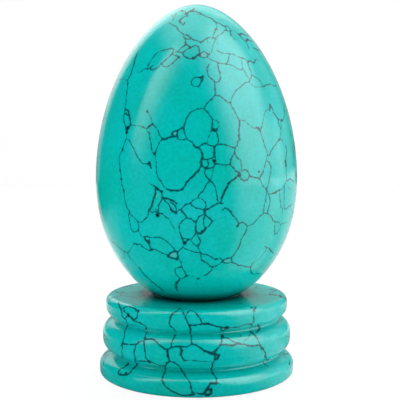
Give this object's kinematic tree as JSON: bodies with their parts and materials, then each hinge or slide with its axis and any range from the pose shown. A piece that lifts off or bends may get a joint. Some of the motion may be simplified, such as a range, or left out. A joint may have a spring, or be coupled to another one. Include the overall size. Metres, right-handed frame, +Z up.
{
  "type": "decorative egg on stand",
  "caption": "Polished turquoise-coloured stone egg with dark web-like veins, standing loose in the hollowed top of a matching ringed stone stand.",
  "frame": {"origin": "centre of the stand's underside, where it rests on a table", "axes": "+Z up along the axis the egg and the stand share; -Y is the side seen in the picture"},
  "size_m": [0.0402, 0.0402, 0.0736],
  "materials": {
    "egg_stone": "polished",
    "stand_stone": "polished"
  },
  "bodies": {
    "stand": {"stand": "stand_stone"},
    "egg": {"egg": "egg_stone"}
  },
  "joints": [
    {"name": "egg_lift", "type": "slide", "parent": "stand", "child": "egg", "axis": [0, 0, 1], "range_m": [0, 0.03]}
  ]
}
